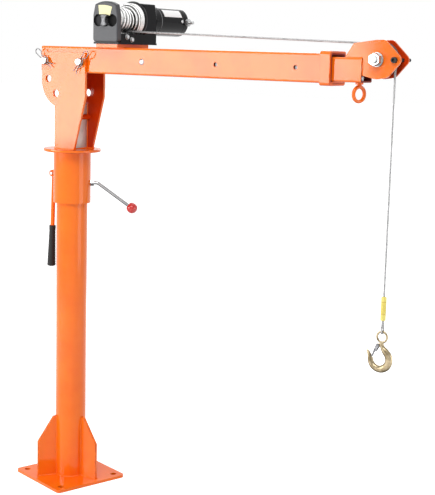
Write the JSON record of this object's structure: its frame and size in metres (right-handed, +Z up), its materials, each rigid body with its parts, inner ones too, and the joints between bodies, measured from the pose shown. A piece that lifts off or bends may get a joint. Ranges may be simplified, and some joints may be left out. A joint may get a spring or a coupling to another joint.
{
  "type": "pickup truck crane",
  "caption": "Swivelling truck-bed crane: bolted post, turning head with lock lever, telescopic boom, electric winch, wire rope over a tip sheave and a safety hook.",
  "frame": {"origin": "centre of the base plate's underside, which is the centre of its bolt circle", "axes": "+Z up along the post, +X along the boom towards its tip, +Y towards the winch's motor"},
  "size_m": [1.1323, 0.3961, 1.346],
  "materials": {
    "orange_coat": "powder coat, semi gloss",
    "zinc": "bright zinc",
    "spring_steel": "plain drawn wire",
    "chrome_rod": "bright",
    "bronze": "plain",
    "nylon": "matt",
    "black_paint": "satin",
    "slate_paint": "satin",
    "black_steel": "black oxide",
    "sheave_steel": "turned, dark",
    "wire_rope": "galvanised strands",
    "yellow_sleeve": "satin",
    "gold_zinc": "yellow zinc",
    "black_rubber": "matt",
    "red_plastic": "gloss"
  },
  "bodies": {
    "base": {"base_plate": "orange_coat", "base_gussets": "orange_coat", "post_tube": "orange_coat", "post_cap": "orange_coat"},
    "head": {"thrust_washer": "nylon", "swivel_sleeve": "orange_coat", "swivel_bushes": "bronze", "sleeve_flange": "orange_coat", "near_cheek": "orange_coat", "far_cheek": "orange_coat", "head_web": "zinc", "head_cross_bar": "orange_coat", "pivot_pin": "zinc", "tilt_pin": "zinc", "pin_clips": "spring_steel", "outer_boom": "orange_coat", "boom_collar": "orange_coat", "winch_plate": "orange_coat", "winch_tray": "black_paint", "gearbox_housing": "slate_paint", "drum_bushes": "bronze", "motor_support": "black_paint", "motor_can": "black_paint", "motor_end_cap": "black_paint", "motor_terminals": "zinc", "winch_bolts": "zinc", "tray_screws": "zinc", "rope_run": "wire_rope", "handle_bracket": "orange_coat", "handle_pin": "zinc", "lock_nut": "chrome_rod"},
    "extension": {"inner_boom": "orange_coat", "near_tip_cheek": "orange_coat", "far_tip_cheek": "orange_coat", "sheave_axle": "zinc", "axle_nut": "zinc", "axle_washers": "zinc", "keeper_bolt": "black_steel", "keeper_nut": "black_steel", "eye_bolt": "orange_coat", "eye_nut": "zinc", "rope_wrap": "wire_rope"},
    "sheave": {"sheave": "sheave_steel", "sheave_bush": "bronze"},
    "drum": {"drum": "black_paint", "wound_rope": "wire_rope"},
    "clutch": {"clutch_knob": "zinc"},
    "rope_end": {"rope_drop": "wire_rope", "rope_sleeve": "yellow_sleeve", "rope_eye": "wire_rope"},
    "hook": {"hook": "gold_zinc", "latch_pin": "zinc"},
    "latch": {"hook_latch": "zinc"},
    "swing_handle": {"handle_rod": "orange_coat", "handle_grip": "black_rubber"},
    "lock_lever": {"lock_lever": "chrome_rod", "lever_ball": "red_plastic"}
  },
  "joints": [
    {"name": "swivel", "type": "hinge", "parent": "base", "child": "head", "pos_m": [0, 0, 0.795], "axis": [0, 0, 1], "continuous": true},
    {"name": "boom_extension", "type": "slide", "parent": "head", "child": "extension", "axis": [1, 0, 0], "range_m": [0, 0.28], "deforming": ["rope_run"]},
    {"name": "hook_lift", "type": "slide", "parent": "extension", "child": "rope_end", "axis": [0, 0, 1], "range_m": [-0.45, 0.45], "deforming": ["rope_drop"]},
    {"name": "drum_spin", "type": "hinge", "parent": "head", "child": "drum", "pos_m": [0.17, 0, 1.2965], "axis": [0, 1, 0], "range_deg": [-900, 900]},
    {"name": "sheave_spin", "type": "hinge", "parent": "extension", "child": "sheave", "pos_m": [0.928, 0, 1.212], "axis": [0, -1, 0], "range_deg": [-720, 720]},
    {"name": "hook_swing", "type": "hinge", "parent": "rope_end", "child": "hook", "pos_m": [0.964, 0, 0.5565], "axis": [0, 1, 0], "range_deg": [-60, 60]},
    {"name": "hook_latch", "type": "hinge", "parent": "hook", "child": "latch", "pos_m": [0.9545, 0, 0.5355], "axis": [0, -1, 0], "range_deg": [0, 45], "stiffness_Nm_per_rad": 0.05, "springref_deg": -20.05},
    {"name": "clutch_turn", "type": "hinge", "parent": "head", "child": "clutch", "pos_m": [0.17, -0.075, 1.2925], "axis": [0, 1, 0], "range_deg": [0, 90]},
    {"name": "lock_turn", "type": "hinge", "parent": "head", "child": "lock_lever", "pos_m": [0.04219, 0.02954, 0.85], "axis": [0.8192, 0.5736, 0], "range_deg": [-160, 160]},
    {"name": "handle_fold", "type": "hinge", "parent": "head", "child": "swing_handle", "pos_m": [-0.066, 0, 0.871], "axis": [0, 1, 0], "range_deg": [0, 95]}
  ],
  "couplings": [
    {"joint": "drum_spin", "follows": "hook_lift", "rad_per_m": 33.557},
    {"joint": "sheave_spin", "follows": "hook_lift", "rad_per_m": 27.778}
  ]
}
